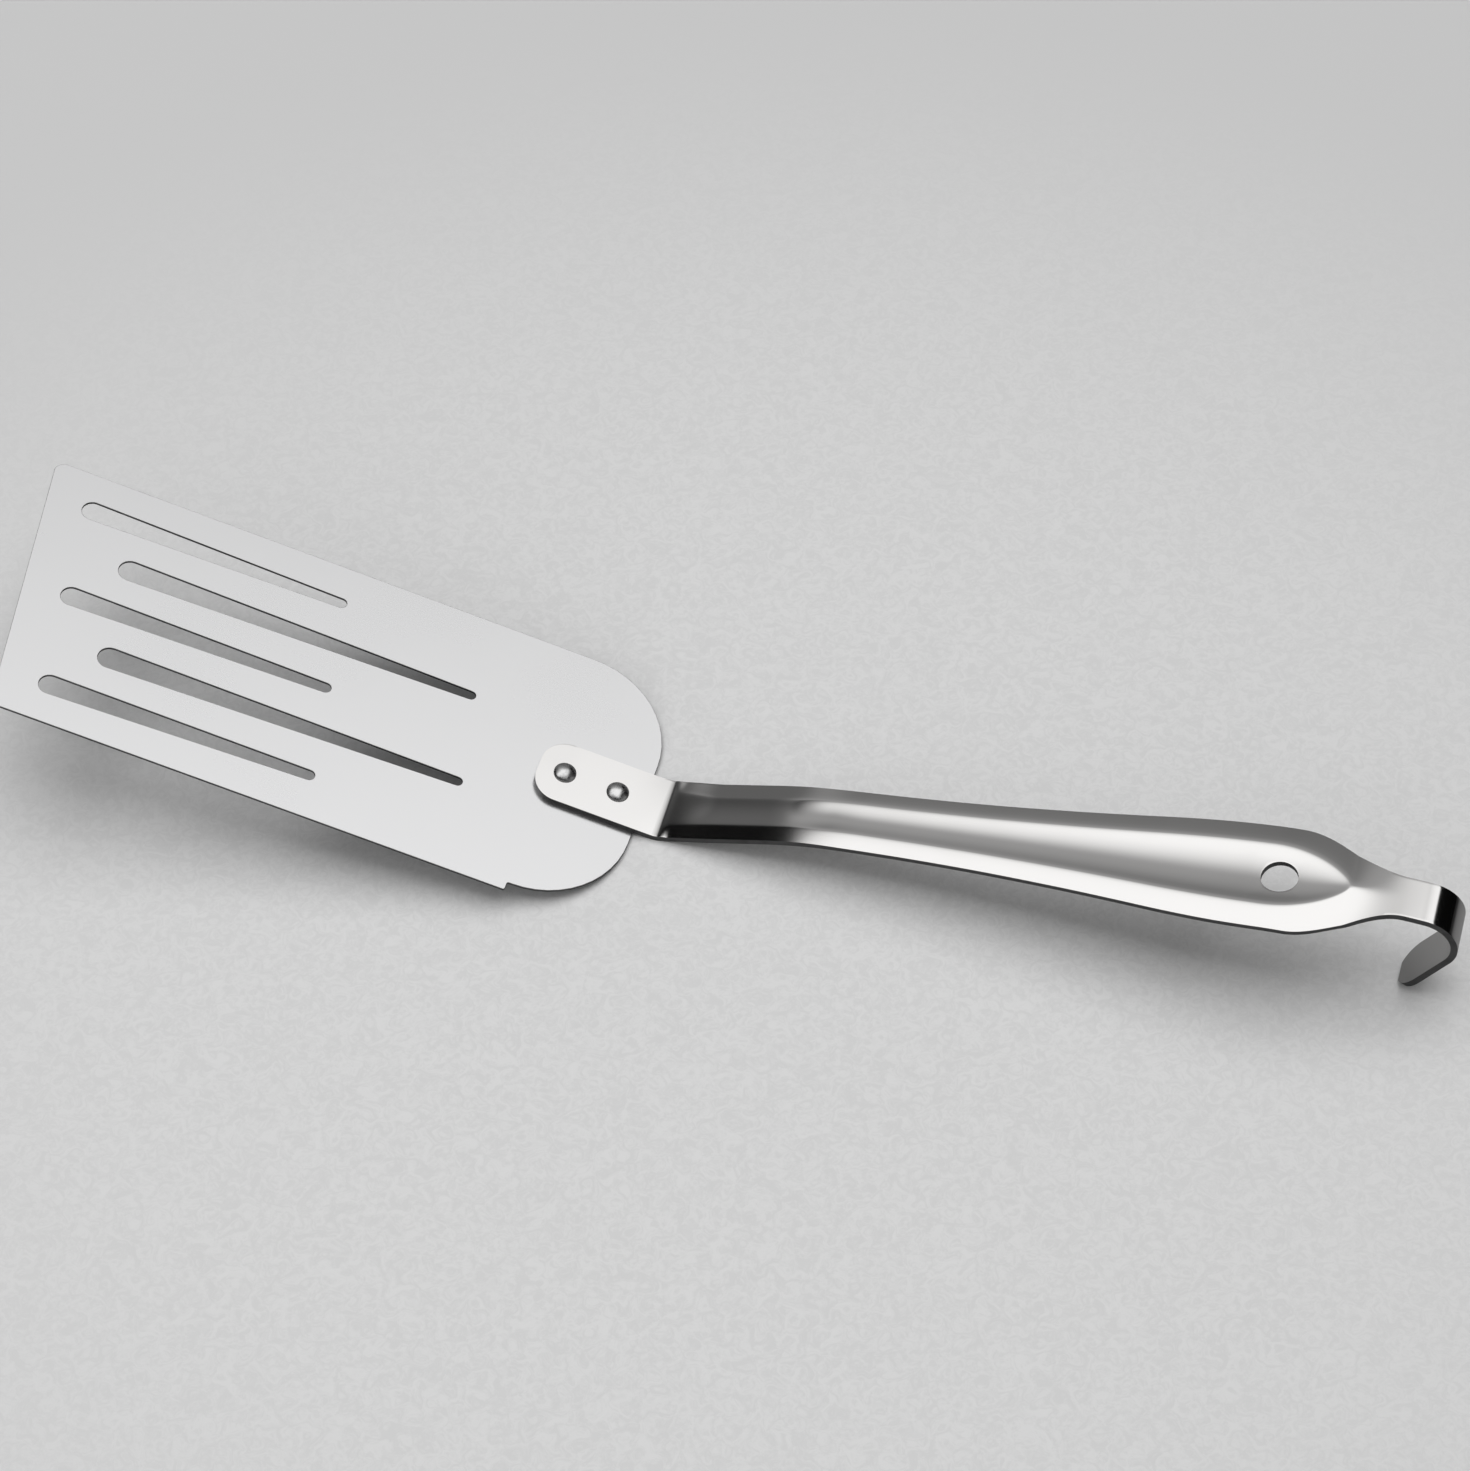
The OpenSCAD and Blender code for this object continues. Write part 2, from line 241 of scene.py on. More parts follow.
@dataclass(frozen=True)
class Steel:
    """A stainless steel finish.

    Attributes:
        name: The material's name.
        colour: The metal's colour. On the edge steels it is darkened as painted shade.
        shade: The colour of its slightly duller patches.
        roughness: How far reflections are spread.
        roughness_swing: How much the fine grain changes the roughness.
        lay: The direction of the grain.
        grain_depth: The grain's depth, in metres.
        haze: The size of the dull patches, in metres.
    """

    name: str
    colour: Colour
    shade: Colour
    roughness: float
    roughness_swing: float
    lay: Lay
    grain_depth: float
    haze: float

    def material(self) -> bpy.types.Material:
        """Builds the material.

        Returns:
            A procedural metal with grain and faint dull patches.
        """
        made = bpy.data.materials.new(self.name)
        made.use_nodes = True
        tree = Tree(made.node_tree)
        place = tree.add("ShaderNodeTexCoord", out="Object")
        stretched = tree.add("ShaderNodeMapping", {}, {"Vector": place, "Scale": self.lay.value})
        fine = {"Vector": stretched, "Scale": 1.0, "Detail": GRAIN_DETAIL}
        grain = tree.add("ShaderNodeTexNoise", {}, fine)
        coarse = {"Vector": place, "Scale": 1 / self.haze, "Detail": HAZE_DETAIL}
        dull = tree.add("ShaderNodeTexNoise", {}, coarse).soft_step(*HAZE_RANGE)
        colour = tree.blend(dull, (*self.colour, 1.0), (*self.shade, 1.0))
        swing = self.roughness_swing
        roughness = self.roughness + (grain - 0.5) * swing + dull * (swing / 2)
        relief = {"Strength": 1.0, "Distance": self.grain_depth, "Height": grain}
        bump = tree.add("ShaderNodeBump", {}, relief)
        shader = tree.add(
            "ShaderNodeBsdfPrincipled",
            {},
            {"Base Color": colour, "Metallic": 1.0, "Roughness": roughness, "Normal": bump},
        )
        tree.add("ShaderNodeOutputMaterial", {}, {"Surface": shader})
        return made


SATIN = Steel(
    name="satin_blade_steel",
    colour=(0.80, 0.80, 0.805),
    shade=(0.79, 0.79, 0.795),
    roughness=0.27,
    roughness_swing=0.01,
    lay=Lay.ALONG,
    grain_depth=0.0000001,
    haze=0.05,
)
POLISHED = Steel(
    name="polished_handle_steel",
    colour=(0.80, 0.79, 0.78),
    shade=(0.78, 0.77, 0.76),
    roughness=0.11,
    roughness_swing=0.02,
    lay=Lay.EVEN,
    grain_depth=0.0000005,
    haze=0.02,
)
RIVET = Steel(
    name="polished_rivet_steel",
    colour=(0.74, 0.74, 0.74),
    shade=(0.56, 0.56, 0.56),
    roughness=0.26,
    roughness_swing=0.20,
    lay=Lay.EVEN,
    grain_depth=0.000004,
    haze=0.0012,
)
ROUNDED = Steel(
    name="rounded_edge_steel",
    colour=(0.76, 0.76, 0.76),
    shade=(0.70, 0.70, 0.70),
    roughness=0.52,
    roughness_swing=0.06,
    lay=Lay.EVEN,
    grain_depth=0.000001,
    haze=0.004,
)
# Rounds on the blade's cut edges. The rougher finish is the edge's own, and the dark colour is
# painted shade for the dark outline along the edges.
BROKEN_EDGE_SHADE = Steel(
    name="broken_edge_painted_shade",
    colour=(0.42, 0.42, 0.42),
    shade=(0.36, 0.36, 0.36),
    roughness=0.30,
    roughness_swing=0.06,
    lay=Lay.EVEN,
    grain_depth=0.000001,
    haze=0.004,
)
# Cut faces of the blade and handle. The rough sheared finish is their own, and the near-black
# colour is painted shade.
SHEARED_EDGE_SHADE = Steel(
    name="sheared_edge_painted_shade",
    colour=(0.20, 0.20, 0.20),
    shade=(0.16, 0.16, 0.16),
    roughness=0.42,
    roughness_swing=0.12,
    lay=Lay.EVEN,
    grain_depth=0.000004,
    haze=0.003,
)


def deselect_all() -> None:
    """Leaves edit mode and deselects every object."""
    if bpy.context.mode != "OBJECT":
        bpy.ops.object.mode_set(mode="OBJECT")
    bpy.ops.object.select_all(action="DESELECT")


def apply_modifier(piece: bpy.types.Object, kind: str, **settings: object) -> None:
    """Adds a modifier with its settings and applies it.

    Args:
        piece: The object to change.
        kind: The modifier's type.
        settings: The modifier's attributes.
    """
    deselect_all()
    bpy.context.view_layer.objects.active = piece
    piece.select_set(True)
    made = piece.modifiers.new(kind.lower(), kind)
    for name, value in settings.items():
        setattr(made, name, value)
    bpy.ops.object.modifier_apply(modifier=made.name)


def finish_shading(piece: bpy.types.Object, smooth_below_deg: float) -> None:
    """Smooths a piece's shading below an angle and keeps its flat faces flat."""
    deselect_all()
    bpy.context.view_layer.objects.active = piece
    piece.select_set(True)
    bpy.ops.object.shade_smooth_by_angle(angle=math.radians(smooth_below_deg))
    apply_modifier(piece, "WEIGHTED_NORMAL", mode="FACE_AREA", weight=100, keep_sharp=True)


def sharp_copy(node: str, name: str) -> bpy.types.Object:
    """Copies a node's mesh, merges its loose triangles and joins the flat ones.

    Args:
        node: The node to copy.
        name: The new piece's name.

    Returns:
        The copy, as one closed mesh.
    """
    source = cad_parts[node]
    piece = bpy.data.objects.new(name, source.data.copy())
    bpy.context.scene.collection.objects.link(piece)
    piece.matrix_world = source.matrix_world.copy()
    deselect_all()
    bpy.context.view_layer.objects.active = piece
    piece.select_set(True)
    bpy.ops.object.transform_apply(location=True, rotation=True, scale=True)
    bpy.ops.object.mode_set(mode="EDIT")
    bpy.ops.mesh.select_all(action="SELECT")
    bpy.ops.mesh.remove_doubles(threshold=MERGE_GAP)
    bpy.ops.mesh.dissolve_limited(angle_limit=math.radians(FLAT_WITHIN_DEG))
    bpy.ops.mesh.select_all(action="DESELECT")
    bpy.ops.object.mode_set(mode="OBJECT")
    return piece


@dataclass
class Blade:
    """The slotted sheet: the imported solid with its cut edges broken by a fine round."""

    edge_round_mm: float = 0.16
    edge_steps: int = 3
    sharp_above_deg: float = 40.0
    level_share: float = 0.5

    def build(self) -> bpy.types.Object:
        """Makes the blade.

        Returns:
            The finished piece, which stands for the blade node.
        """
        piece = sharp_copy("blade", "blade_sheet")
        piece.data.materials.clear()
        # The blade's cut faces and rounds take the edge steels, whose dark colours are painted
        # shade.
        for finish in (SATIN, SHEARED_EDGE_SHADE, BROKEN_EDGE_SHADE):
            piece.data.materials.append(finish.material())
        up = max(piece.data.polygons, key=lambda polygon: polygon.area).normal.copy()
        for polygon in piece.data.polygons:
            level = abs(polygon.normal.dot(up)) > self.level_share
            polygon.material_index = 0 if level else 1
        apply_modifier(
            piece,
            "BEVEL",
            width=self.edge_round_mm * MM,
            segments=self.edge_steps,
            limit_method="ANGLE",
            angle_limit=math.radians(self.sharp_above_deg),
            material=2,
        )
        finish_shading(piece, self.sharp_above_deg)
        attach(piece, "root")
        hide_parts("blade")
        return piece


@dataclass
class Rivets:
    """The two rivets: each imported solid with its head's rim broken by a round."""

    rim_round_mm: float = 0.22
    rim_steps: int = 4
    sharp_above_deg: float = 35.0

    def build(self) -> list[bpy.types.Object]:
        """Makes both rivets.

        Returns:
            The finished pieces.
        """
        steel = RIVET.material()
        made = []
        for node in ("rivet_front", "rivet_rear"):
            piece = sharp_copy(node, node + "_head")
            piece.data.materials.clear()
            piece.data.materials.append(steel)
            apply_modifier(
                piece,
                "BEVEL",
                width=self.rim_round_mm * MM,
                segments=self.rim_steps,
                limit_method="ANGLE",
                angle_limit=math.radians(self.sharp_above_deg),
            )
            finish_shading(piece, self.sharp_above_deg)
            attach(piece, "root")
            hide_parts(node)
            made.append(piece)
        return made


@dataclass(frozen=True)
class Run:
    """A stretch of the handle's path: its length, how far it turns, and its number of steps."""

    length: float
    turn_deg: float
    steps: int


@dataclass(frozen=True)
class Place:
    """A place on the handle's path, seen from the side: x and z, heading and distance travelled."""

    x: float
    z: float
    heading_deg: float
    travelled: float

    def advance(self, length: float, turn_deg: float) -> "Place":
        """Moves on along a straight line or an arc.

        Args:
            length: How far to go.
            turn_deg: How much the heading turns on the way.

        Returns:
            The place at the end.
        """
        a = math.radians(self.heading_deg)
        if turn_deg == 0:
            return Place(
                self.x + length * math.cos(a),
                self.z + length * math.sin(a),
                self.heading_deg,
                self.travelled + length,
            )
        b = math.radians(self.heading_deg + turn_deg)
        r = length / math.radians(turn_deg)
        return Place(
            self.x + r * (math.sin(b) - math.sin(a)),
            self.z - r * (math.cos(b) - math.cos(a)),
            self.heading_deg + turn_deg,
            self.travelled + length,
        )


class Stretch(IntEnum):
    """The stretches of the handle's path, from the tab's front end to the hook's tip."""

    CORNER = 0
    TAB = 1
    BEND = 2
    NECK = 3
    CURVE = 4
    GRIP = 5
    ARCH = 6
    HOOK = 7
    LEG = 8
    TIP = 9


@dataclass
class Handle:
    """The pressed handle. A flat blank is cut to outline and punched, and then pressed to its form.

    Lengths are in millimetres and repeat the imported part's own sizes.
    """

    blade_t: float = 0.7
    blade_pitch_deg: float = 13.3
    sheet_t: float = 1.65
    edge_round: float = 0.3
    edge_soft: float = 0.45
    edge_steps: int = 5
    tab_w: float = 17.3
    tab_corner_r: float = 6.5
    tab_overlap: float = 27.2
    bend_gap: float = 5.45
    bend_r: float = 4.0
    neck_rise_deg: float = 17.0
    neck_l: float = 39.1
    neck_curve_r: float = 150.0
    grip_rise_deg: float = 7.6
    grip_l: float = 107.7
    grip_w: float = 30.0
    widest_gap: float = 2.3
    bend_ridge_w: float = 10.9
    neck_ridge_w: float = 8.7
    grip_ridge_w: float = 17.7
    groove_depth: float = 1.1
    flange_fall_deg: float = 10.2
    neck_flange_fall_deg: float = 5.5
    hole_d: float = 8.8
    hole_gap: float = 33.9
    end_l: float = 39.1
    end_turn_deg: float = 7.7
    point_l: float = 19.4
    grip_end_gap: float = 6.2
    grip_shoulder_l: float = 26.4
    strap_w: float = 11.2
    hook_r: float = 9.4
    hook_drop_deg: float = 121.0
    tip_l: float = 7.0
    crown_half: float = 0.3
    flange_form_l: float = 2.5
    ridge_form_l: float = 14.0
    groove_form_l: float = 15.0
    groove_lead: float = 4.0
    dish_form_l: float = 12.0
    dish_lead: float = 7.0
    neck_groove_depth: float = 0.1
    lift_slope_near: float = 0.01
    lift_slope_far: float = 0.13
    lift_l: float = 9.0
    lift_fade_l: float = 15.0
    droop_slope: float = 0.07
    droop_l: float = 14.0
    crown_soft: float = 2.5
    crown_soft_l: float = 8.0
    neck_ridge_round: float = 0.6
    ridge_round: float = 0.9
    grip_shares: tuple[float, ...] = (
        0, 0.033, 0.075, 0.14, 0.23, 0.35, 0.49, 0.655, 0.83, 0.955, 1
    )
    point_share: float = 0.78
    ridge_room_share: float = 0.9
    tip_share: float = 0.88
    crown_fade_share: float = 0.6
    run_steps: tuple[int, ...] = (16, 14, 16, 40, 24, 72, 56, 48, 14, 18)
    column_shares: tuple[float, ...] = (0.0, 0.2, 0.4, 0.6, 0.76, 0.88, 0.95, 1.0)
    flange_shares: tuple[float, ...] = (0.04, 0.1, 0.22, 0.45, 0.7, 0.88, 1.0)
    hole_ring_steps: int = 6
    hole_room: float = 2.2
    patch_share: float = 0.8
    smooth_below_deg: float = 40.0
    round_above_deg: float = 50.0

    def __post_init__(self) -> None:
        """Works out the path and its marks."""
        bend_turn = self.neck_rise_deg + self.blade_pitch_deg
        neck_turn = self.neck_rise_deg - self.grip_rise_deg
        hook_turn = self.grip_rise_deg - self.end_turn_deg + self.hook_drop_deg
        bend_cut = self.bend_r * math.tan(math.radians(bend_turn / 2))
        neck_cut = self.neck_curve_r * math.tan(math.radians(neck_turn / 2))
        stack_t = self.blade_t + self.sheet_t
        pitch = math.radians(self.blade_pitch_deg)
        start = Place(
            stack_t * math.sin(pitch) - self.tab_overlap * math.cos(pitch),
            stack_t * math.cos(pitch) + self.tab_overlap * math.sin(pitch),
            -self.blade_pitch_deg,
            0.0,
        )
        self.rest_z = (
            self.bend_r
            + self.sheet_t
            - (stack_t + self.bend_r) * math.cos(pitch)
            + (self.bend_gap - bend_cut) * math.sin(pitch)
        )
        tab_l = self.tab_overlap + self.bend_gap - bend_cut - self.tab_corner_r
        shapes = [
            (self.tab_corner_r, 0.0),
            (tab_l, 0.0),
            (math.radians(bend_turn) * self.bend_r, bend_turn),
            (self.neck_l - bend_cut - neck_cut, 0.0),
            (math.radians(neck_turn) * self.neck_curve_r, -neck_turn),
            (self.grip_l - neck_cut, 0.0),
            (self.end_l, -self.end_turn_deg),
            (math.radians(hook_turn) * self.hook_r, -hook_turn),
        ]
        self.runs: list[Run] = []
        self.run_starts = [start]
        for shape in shapes:
            self.extend(*shape)
        drop = self.run_starts[Stretch.LEG].z + self.rest_z
        leg_l = drop / math.sin(math.radians(self.hook_drop_deg))
        self.extend(leg_l - self.tip_l, 0.0)
        self.extend(self.tip_l, 0.0)
        self.neck_from = self.mark(Stretch.NECK)
        self.grip_from = self.mark(Stretch.CURVE) + neck_cut
        self.grip_wide = self.mark(Stretch.ARCH) + self.widest_gap
        self.shoulder_from = self.grip_wide + self.grip_end_gap
        self.shoulder_to = self.shoulder_from + self.grip_shoulder_l
        self.tip_from = self.mark(Stretch.TIP)
        self.hole_at = self.mark(Stretch.ARCH) + self.end_l - self.hole_gap

    def extend(self, length: float, turn_deg: float) -> None:
        """Adds the next stretch to the path.

        Args:
            length: How long it is.
            turn_deg: How much the heading turns on it.
        """
        self.runs.append(Run(length, turn_deg, self.run_steps[len(self.runs)]))
        self.run_starts.append(self.run_starts[-1].advance(length, turn_deg))

    def mark(self, stretch: Stretch) -> float:
        """Distance along the path at which a stretch starts."""
        return self.run_starts[stretch].travelled

    def place(self, travelled: float) -> Place:
        """Place on the path at a distance from the tab's front end."""
        index = len(self.runs) - 1
        while index > 0 and travelled < self.run_starts[index].travelled:
            index -= 1
        start, run = self.run_starts[index], self.runs[index]
        along = travelled - start.travelled
        return start.advance(along, run.turn_deg * along / run.length)

    def lift(self, s: float, y: float) -> float:
        """Rise of the sheet before its first bend, and its droop before the hook.

        The rise is drawn out on the far side.

        Args:
            s: Distance along the path.
            y: Distance across the sheet.

        Returns:
            The height above the path's own line.
        """
        slope = mix(self.lift_slope_near, self.lift_slope_far, held(0.5 + y / self.tab_w))
        past_bend = s - self.mark(Stretch.BEND)
        t = held(past_bend / self.lift_fade_l)
        carried = 3 * t * (1 - t) ** 2 * self.lift_fade_l / self.lift_l
        risen = held(1 + past_bend / self.lift_l) ** 3 * (1 - smooth(t)) + carried
        past_strap = s - self.mark(Stretch.HOOK)
        fade = 1 - smooth(past_strap / self.runs[Stretch.HOOK].length)
        sunk = held(1 + past_strap / self.droop_l) ** 3 * fade
        return (slope * self.lift_l * risen - self.droop_slope * self.droop_l * sunk) / 3

    def half_width(self, s: float) -> float:
        """Half the sheet's width at a distance along the path."""
        if s < self.tab_corner_r:
            bulge = math.sqrt(max(s * (2 * self.tab_corner_r - s), 0.0))
            return self.tab_w / 2 - self.tab_corner_r + bulge
        if s > self.tip_from:
            past = self.tip_share * (s - self.tip_from) / self.tip_l
            return self.strap_w / 2 * math.sqrt(max(1 - past * past, 0.0))
        if s > self.grip_wide:
            drawn_in = smooth((s - self.shoulder_from) / self.grip_shoulder_l)
            return mix(self.grip_w, self.strap_w, drawn_in) / 2
        return mix(self.tab_w, self.grip_w, self.spread(s)) / 2

    def spread(self, s: float) -> float:
        """Share of the grip's growth that is reached at a distance along the path."""
        along = (s - self.grip_from) / (self.grip_wide - self.grip_from)
        return curve_through(self.grip_shares, along)

    def grown(self, s: float) -> float:
        """Share of the change from the neck's crisp ridges to the grip's rounder ones."""
        return smooth((s - self.neck_from - self.ridge_form_l) / self.neck_l)

    def ridge_half(self, s: float) -> float:
        """Half the spacing of the two ridges."""
        drawn_in = smooth((s - self.neck_from) / self.ridge_form_l)
        formed = mix(self.bend_ridge_w, self.neck_ridge_w, drawn_in) / 2
        grown = formed + self.spread(s) * (self.grip_ridge_w - self.neck_ridge_w) / 2
        along = held((s - self.grip_wide) / self.point_l)
        room = self.ridge_room_share * (self.half_width(s) - self.edge_round)
        closing = (1 - along * along) ** self.point_share
        return min(room, self.crown_half + (grown - self.crown_half) * closing)

    def flange_slope(self, s: float) -> float:
        """Slope of the flanges, as a fall over a run."""
        formed = smooth((s - self.neck_from) / self.flange_form_l)
        grip = smooth((s - self.grip_from + self.groove_lead) / self.groove_form_l)
        faded = smooth((self.shoulder_to - s) / (self.grip_shoulder_l * self.crown_fade_share))
        neck_fall = formed * math.tan(math.radians(self.neck_flange_fall_deg))
        return mix(neck_fall, math.tan(math.radians(self.flange_fall_deg)), grip) * faded

    def groove(self, s: float) -> float:
        """Depth of the groove between the ridges."""
        sunk = smooth((s - self.grip_from + self.dish_lead) / self.dish_form_l)
        formed = smooth((s - self.neck_from) / self.ridge_form_l)
        dished = formed * self.neck_groove_depth * (1 - sunk)
        opened = (self.ridge_half(s) - self.crown_half) * 2 / self.grip_ridge_w
        return dished + sunk * self.groove_depth * opened

    def rise(self, s: float, y: float) -> float:
        """Height of the upper face above the path, with the ridges slightly rounded."""
        ridge = self.ridge_half(s)
        past_point = smooth((s - self.grip_wide - self.point_l) / self.crown_soft_l)
        away = math.hypot(y, mix(self.crown_half, self.crown_soft, past_point))
        out = away - ridge
        rounding = mix(self.neck_ridge_round, self.ridge_round, self.grown(s))
        beyond = (out + math.hypot(out, rounding)) / 2
        within = away - beyond
        return -self.flange_slope(s) * beyond - self.groove(s) * (1 - (within / ridge) ** 2)

    def press(self, s: float, y: float, shift: Vector) -> Vector:
        """Place of a point of the blank after pressing.

        Args:
            s: Distance along the blank.
            y: Distance across it.
            shift: Where the blade's rear lower edge lies in the row's frame.

        Returns:
            The point in metres.
        """
        at = self.place(s)
        a = math.radians(at.heading_deg)
        up = self.rise(s, y) + self.lift(s, y)
        x, z = at.x - up * math.sin(a), at.z + up * math.cos(a)
        return Vector((x * MM, y * MM, z * MM)) + shift

    def columns(self) -> list[tuple[float, float]]:
        """Columns of the blank, each as its share of the groove's half and of the flange."""
        inner = [(share, 0.0) for share in self.column_shares]
        outer = [(1.0, share) for share in self.flange_shares]
        half = inner + outer
        return [(-a, -b) for a, b in reversed(half[1:])] + half

    def stations(self) -> list[float]:
        """Distances along the path at which the blank has its rows."""
        places: list[float] = []
        for index, (start, run) in enumerate(zip(self.run_starts, self.runs)):
            for step in range(run.steps):
                f = step / run.steps
                if index == Stretch.CORNER:
                    f = 1 - math.cos(math.pi / 2 * f)
                if index == Stretch.TIP:
                    f = math.sin(math.pi / 2 * f)
                places.append(start.travelled + run.length * f)
        places.append(self.run_starts[-1].travelled)
        return places

    def blank(self) -> bpy.types.Object:
        """Cuts the flat blank: a grid drawn in to the outline, with the hole punched.

        Returns:
            The blank, with distances along and across the sheet as its x and y, in millimetres.
        """
        stations, columns = self.stations(), self.columns()
        rows, cols = len(stations), len(columns)
        deselect_all()
        bpy.ops.mesh.primitive_grid_add(
            x_subdivisions=rows - 1, y_subdivisions=cols - 1, size=1.0
        )
        piece = bpy.context.object
        piece.name = "handle_sheet"
        by_place = sorted(
            piece.data.vertices, key=lambda v: (round(v.co.x, 5), round(v.co.y, 5))
        )
        reach = self.hole_d / 2 + self.hole_room
        in_patch = set()
        for i, s in enumerate(stations):
            ridge, half = self.ridge_half(s), self.half_width(s)
            for j, (inner, outer) in enumerate(columns):
                vertex = by_place[i * cols + j]
                vertex.co = (s, inner * ridge + outer * (half - ridge), 0.0)
                if abs(s - self.hole_at) < reach and abs(inner) <= self.patch_share:
                    in_patch.add(vertex.index)
        self.punch(piece, in_patch)
        return piece

    def punch(self, piece: bpy.types.Object, in_patch: set[int]) -> None:
        """Opens a patch of the blank and rings the hanging hole with regular quads.

        Args:
            piece: The blank.
            in_patch: The vertices at the corners of the patch's faces.
        """
        work = bmesh.new()
        work.from_mesh(piece.data)
        patch = [face for face in work.faces if all(v.index in in_patch for v in face.verts)]
        rim = {v for face in patch for v in face.verts}
        bmesh.ops.delete(work, geom=patch, context="FACES")
        rim = sorted((v for v in rim if v.is_valid), key=self.angle_at_hole)
        rings = [rim]
        for step in range(1, self.hole_ring_steps + 1):
            f = step / self.hole_ring_steps
            ring = []
            for outer in rim:
                angle = self.angle_at_hole(outer)
                x = self.hole_at + self.hole_d / 2 * math.cos(angle)
                y = self.hole_d / 2 * math.sin(angle)
                ring.append(work.verts.new((mix(outer.co.x, x, f), mix(outer.co.y, y, f), 0.0)))
            rings.append(ring)
        for outer, inner in zip(rings, rings[1:]):
            for k in range(len(rim)):
                after = (k + 1) % len(rim)
                work.faces.new((outer[k], outer[after], inner[after], inner[k]))
        bmesh.ops.recalc_face_normals(work, faces=work.faces)
        work.to_mesh(piece.data)
        work.free()

    def angle_at_hole(self, vertex: bmesh.types.BMVert) -> float:
        """Direction of a point of the blank, seen from the hole's centre, in radians."""
        return math.atan2(vertex.co.y, vertex.co.x - self.hole_at)

    def build(self) -> bpy.types.Object:
        """Makes the handle: blank, pressing, thickness and rounded cut edges.

        Returns:
            The finished piece, which stands for the handle node.
        """
        low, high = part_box("handle")
        strap_rise = math.radians(self.grip_rise_deg - self.end_turn_deg)
        reach = self.run_starts[Stretch.HOOK].x + self.hook_r * (1 + math.sin(strap_rise))
        shift = Vector((high[0] - reach * MM, 0.0, self.rest_z * MM))
        piece = self.blank()
        for vertex in piece.data.vertices:
            vertex.co = self.press(vertex.co.x, vertex.co.y, shift)
        piece.data.update()
        deselect_all()
        bpy.context.view_layer.objects.active = piece
        piece.select_set(True)
        bpy.ops.object.mode_set(mode="EDIT")
        bpy.ops.mesh.select_all(action="SELECT")
        bpy.ops.mesh.normals_make_consistent(inside=False)
        bpy.ops.object.mode_set(mode="OBJECT")
        if piece.data.polygons[0].normal.z < 0:
            piece.data.flip_normals()
        # The handle's cut faces take the sheared steel, whose near-black colour is painted shade.
        for finish in (POLISHED, SHEARED_EDGE_SHADE, ROUNDED):
            piece.data.materials.append(finish.material())
        apply_modifier(
            piece,
            "SOLIDIFY",
            thickness=self.sheet_t * MM,
            offset=-1.0,
            use_even_offset=True,
            material_offset_rim=1,
        )
        apply_modifier(
            piece,
            "BEVEL",
            width=self.edge_soft * MM,
            segments=self.edge_steps,
            limit_method="ANGLE",
            angle_limit=math.radians(self.round_above_deg),
            material=2,
        )
        finish_shading(piece, self.smooth_below_deg)
        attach(piece, "root")
        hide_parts("handle")
        return piece


